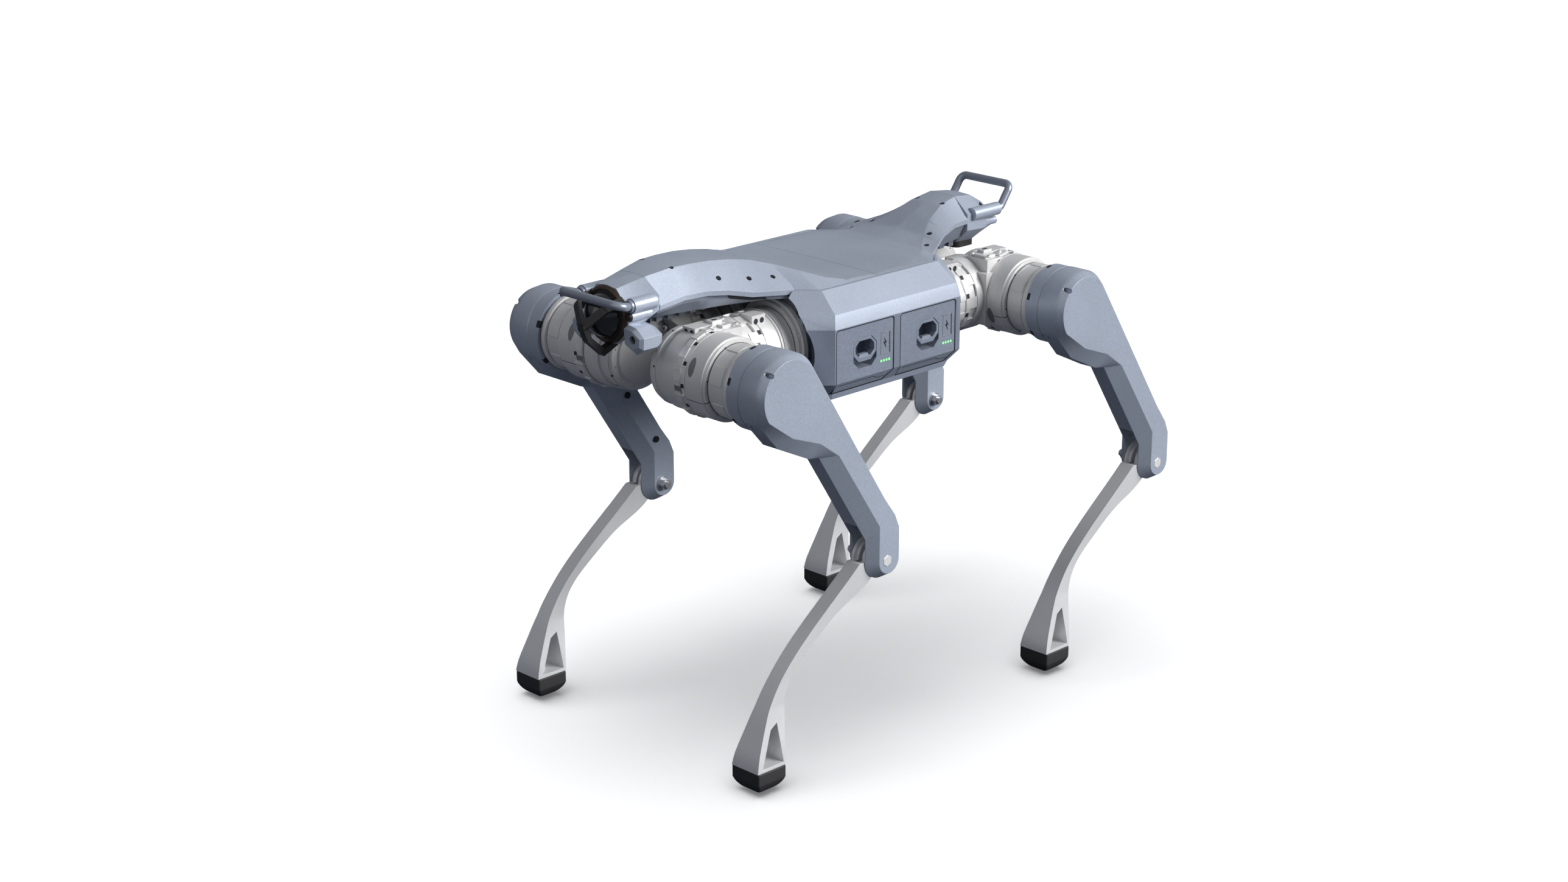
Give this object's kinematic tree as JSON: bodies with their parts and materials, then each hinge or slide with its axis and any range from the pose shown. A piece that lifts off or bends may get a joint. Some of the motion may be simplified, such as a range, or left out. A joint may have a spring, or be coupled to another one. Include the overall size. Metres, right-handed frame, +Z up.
{
  "type": "quadruped robot",
  "caption": "Walking robot dog: boxy trunk with side battery packs, domed range finder at the nose, carrying handles and jointed legs with rubber feet.",
  "frame": {"origin": "middle of the robot's length and width, on the floor under the feet", "axes": "+X forward (nose), +Y to the robot's left, +Z up"},
  "size_m": [0.8358, 0.452, 0.6182],
  "materials": {
    "casing_blue_grey": "satin powder coat, fine grain",
    "battery_slate": "fine textured",
    "cast_silver": "bead blasted, matte",
    "shin_silver": "satin flake",
    "frame_grey": "anodised satin",
    "tube_grey": "satin powder coat",
    "rubber_black": "matte moulded",
    "black_plastic": "fine textured",
    "black_window": "polished dark window",
    "black_screw": "black oxide",
    "steel": "machined"
  },
  "bodies": {
    "trunk": {"trunk_frame": "frame_grey", "battery_housing": "casing_blue_grey", "belly_plate": "frame_grey", "front_top_cover": "casing_blue_grey", "rear_top_cover": "casing_blue_grey", "front_under_cover": "casing_blue_grey", "rear_under_cover": "casing_blue_grey", "head_cap": "casing_blue_grey", "tail_cap": "casing_blue_grey", "front_handle": "tube_grey", "rear_handle": "tube_grey", "front_lidar": "black_window", "rear_lidar": "black_plastic", "lidar_guard": "black_plastic", "sensor_pods": "casing_blue_grey", "sensor_lenses": "black_window", "hip_motors": "cast_silver", "control_computer": "frame_grey", "cover_screws": "black_screw"},
    "battery_front": {"battery_front": "battery_slate"},
    "latch_front": {"latch_front": "battery_slate"},
    "battery_rear": {"battery_rear": "battery_slate"},
    "latch_rear": {"latch_rear": "battery_slate"},
    "hip_fl": {"hip_casting_fl": "cast_silver", "leg_motors_fl": "cast_silver"},
    "thigh_fl": {"thigh_shell_fl": "casing_blue_grey", "thigh_cover_fl": "casing_blue_grey", "knee_bolt_fl": "steel"},
    "crank_fl": {"knee_crank_fl": "steel"},
    "rod_fl": {"knee_rod_fl": "steel"},
    "calf_fl": {"calf_fl": "shin_silver", "foot_fl": "rubber_black"},
    "hip_fr": {"hip_casting_fr": "cast_silver", "leg_motors_fr": "cast_silver"},
    "thigh_fr": {"thigh_shell_fr": "casing_blue_grey", "thigh_cover_fr": "casing_blue_grey", "knee_bolt_fr": "steel"},
    "crank_fr": {"knee_crank_fr": "steel"},
    "rod_fr": {"knee_rod_fr": "steel"},
    "calf_fr": {"calf_fr": "shin_silver", "foot_fr": "rubber_black"},
    "hip_rl": {"hip_casting_rl": "cast_silver", "leg_motors_rl": "cast_silver"},
    "thigh_rl": {"thigh_shell_rl": "casing_blue_grey", "thigh_cover_rl": "casing_blue_grey", "knee_bolt_rl": "steel"},
    "crank_rl": {"knee_crank_rl": "steel"},
    "rod_rl": {"knee_rod_rl": "steel"},
    "calf_rl": {"calf_rl": "shin_silver", "foot_rl": "rubber_black"},
    "hip_rr": {"hip_casting_rr": "cast_silver", "leg_motors_rr": "cast_silver"},
    "thigh_rr": {"thigh_shell_rr": "casing_blue_grey", "thigh_cover_rr": "casing_blue_grey", "knee_bolt_rr": "steel"},
    "crank_rr": {"knee_crank_rr": "steel"},
    "rod_rr": {"knee_rod_rr": "steel"},
    "calf_rr": {"calf_rr": "shin_silver", "foot_rr": "rubber_black"}
  },
  "joints": [
    {"name": "battery_front_slide", "type": "slide", "parent": "trunk", "child": "battery_front", "axis": [0, -1, 0], "range_m": [-0.12, 0]},
    {"name": "latch_front_slide", "type": "slide", "parent": "battery_front", "child": "latch_front", "axis": [0, 0, -1], "range_m": [0, 0.006], "stiffness_N_per_m": 400, "springref_m": -0.006},
    {"name": "battery_rear_slide", "type": "slide", "parent": "trunk", "child": "battery_rear", "axis": [0, -1, 0], "range_m": [-0.12, 0]},
    {"name": "latch_rear_slide", "type": "slide", "parent": "battery_rear", "child": "latch_rear", "axis": [0, 0, -1], "range_m": [0, 0.006], "stiffness_N_per_m": 400, "springref_m": -0.006},
    {"name": "hip_fl", "type": "hinge", "parent": "trunk", "child": "hip_fl", "pos_m": [0.2324, 0.05, 0.4885], "axis": [1, 0, 0], "range_deg": [-15, 32]},
    {"name": "thigh_fl", "type": "hinge", "parent": "hip_fl", "child": "thigh_fl", "pos_m": [0.2953, 0.18, 0.4885], "axis": [0, 1, 0], "range_deg": [-75, 55]},
    {"name": "knee_fl", "type": "hinge", "parent": "thigh_fl", "child": "calf_fl", "pos_m": [0.1344, 0.201, 0.24723], "axis": [0, -1, 0], "range_deg": [-45, 70]},
    {"name": "crank_fl", "type": "hinge", "parent": "thigh_fl", "child": "crank_fl", "pos_m": [0.2953, 0.18, 0.4885], "axis": [0, -1, 0], "range_deg": [-45, 70]},
    {"name": "rod_fl", "type": "hinge", "parent": "crank_fl", "child": "rod_fl", "pos_m": [0.2835, 0.201, 0.50339], "axis": [0, -1, 0], "range_deg": [-70, 45]},
    {"name": "hip_fr", "type": "hinge", "parent": "trunk", "child": "hip_fr", "pos_m": [0.2324, -0.05, 0.4885], "axis": [-1, 0, 0], "range_deg": [-15, 32]},
    {"name": "thigh_fr", "type": "hinge", "parent": "hip_fr", "child": "thigh_fr", "pos_m": [0.2953, -0.18, 0.4885], "axis": [0, 1, 0], "range_deg": [-75, 55]},
    {"name": "knee_fr", "type": "hinge", "parent": "thigh_fr", "child": "calf_fr", "pos_m": [0.1344, -0.201, 0.24723], "axis": [0, -1, 0], "range_deg": [-45, 70]},
    {"name": "crank_fr", "type": "hinge", "parent": "thigh_fr", "child": "crank_fr", "pos_m": [0.2953, -0.18, 0.4885], "axis": [0, -1, 0], "range_deg": [-45, 70]},
    {"name": "rod_fr", "type": "hinge", "parent": "crank_fr", "child": "rod_fr", "pos_m": [0.2835, -0.201, 0.50339], "axis": [0, -1, 0], "range_deg": [-70, 45]},
    {"name": "hip_rl", "type": "hinge", "parent": "trunk", "child": "hip_rl", "pos_m": [-0.1676, 0.05, 0.4885], "axis": [1, 0, 0], "range_deg": [-15, 32]},
    {"name": "thigh_rl", "type": "hinge", "parent": "hip_rl", "child": "thigh_rl", "pos_m": [-0.2305, 0.18, 0.4885], "axis": [0, 1, 0], "range_deg": [-38, 80]},
    {"name": "knee_rl", "type": "hinge", "parent": "thigh_rl", "child": "calf_rl", "pos_m": [-0.3914, 0.201, 0.24723], "axis": [0, -1, 0], "range_deg": [-45, 70]},
    {"name": "crank_rl", "type": "hinge", "parent": "thigh_rl", "child": "crank_rl", "pos_m": [-0.2305, 0.18, 0.4885], "axis": [0, -1, 0], "range_deg": [-45, 70]},
    {"name": "rod_rl", "type": "hinge", "parent": "crank_rl", "child": "rod_rl", "pos_m": [-0.2423, 0.201, 0.50339], "axis": [0, -1, 0], "range_deg": [-70, 45]},
    {"name": "hip_rr", "type": "hinge", "parent": "trunk", "child": "hip_rr", "pos_m": [-0.1676, -0.05, 0.4885], "axis": [-1, 0, 0], "range_deg": [-15, 32]},
    {"name": "thigh_rr", "type": "hinge", "parent": "hip_rr", "child": "thigh_rr", "pos_m": [-0.2305, -0.18, 0.4885], "axis": [0, 1, 0], "range_deg": [-38, 80]},
    {"name": "knee_rr", "type": "hinge", "parent": "thigh_rr", "child": "calf_rr", "pos_m": [-0.3914, -0.201, 0.24723], "axis": [0, -1, 0], "range_deg": [-45, 70]},
    {"name": "crank_rr", "type": "hinge", "parent": "thigh_rr", "child": "crank_rr", "pos_m": [-0.2305, -0.18, 0.4885], "axis": [0, -1, 0], "range_deg": [-45, 70]},
    {"name": "rod_rr", "type": "hinge", "parent": "crank_rr", "child": "rod_rr", "pos_m": [-0.2423, -0.201, 0.50339], "axis": [0, -1, 0], "range_deg": [-70, 45]}
  ],
  "couplings": [
    {"joint": "crank_fl", "follows": "knee_fl", "ratio": 1},
    {"joint": "rod_fl", "follows": "knee_fl", "ratio": -1},
    {"joint": "crank_fr", "follows": "knee_fr", "ratio": 1},
    {"joint": "rod_fr", "follows": "knee_fr", "ratio": -1},
    {"joint": "crank_rl", "follows": "knee_rl", "ratio": 1},
    {"joint": "rod_rl", "follows": "knee_rl", "ratio": -1},
    {"joint": "crank_rr", "follows": "knee_rr", "ratio": 1},
    {"joint": "rod_rr", "follows": "knee_rr", "ratio": -1}
  ]
}
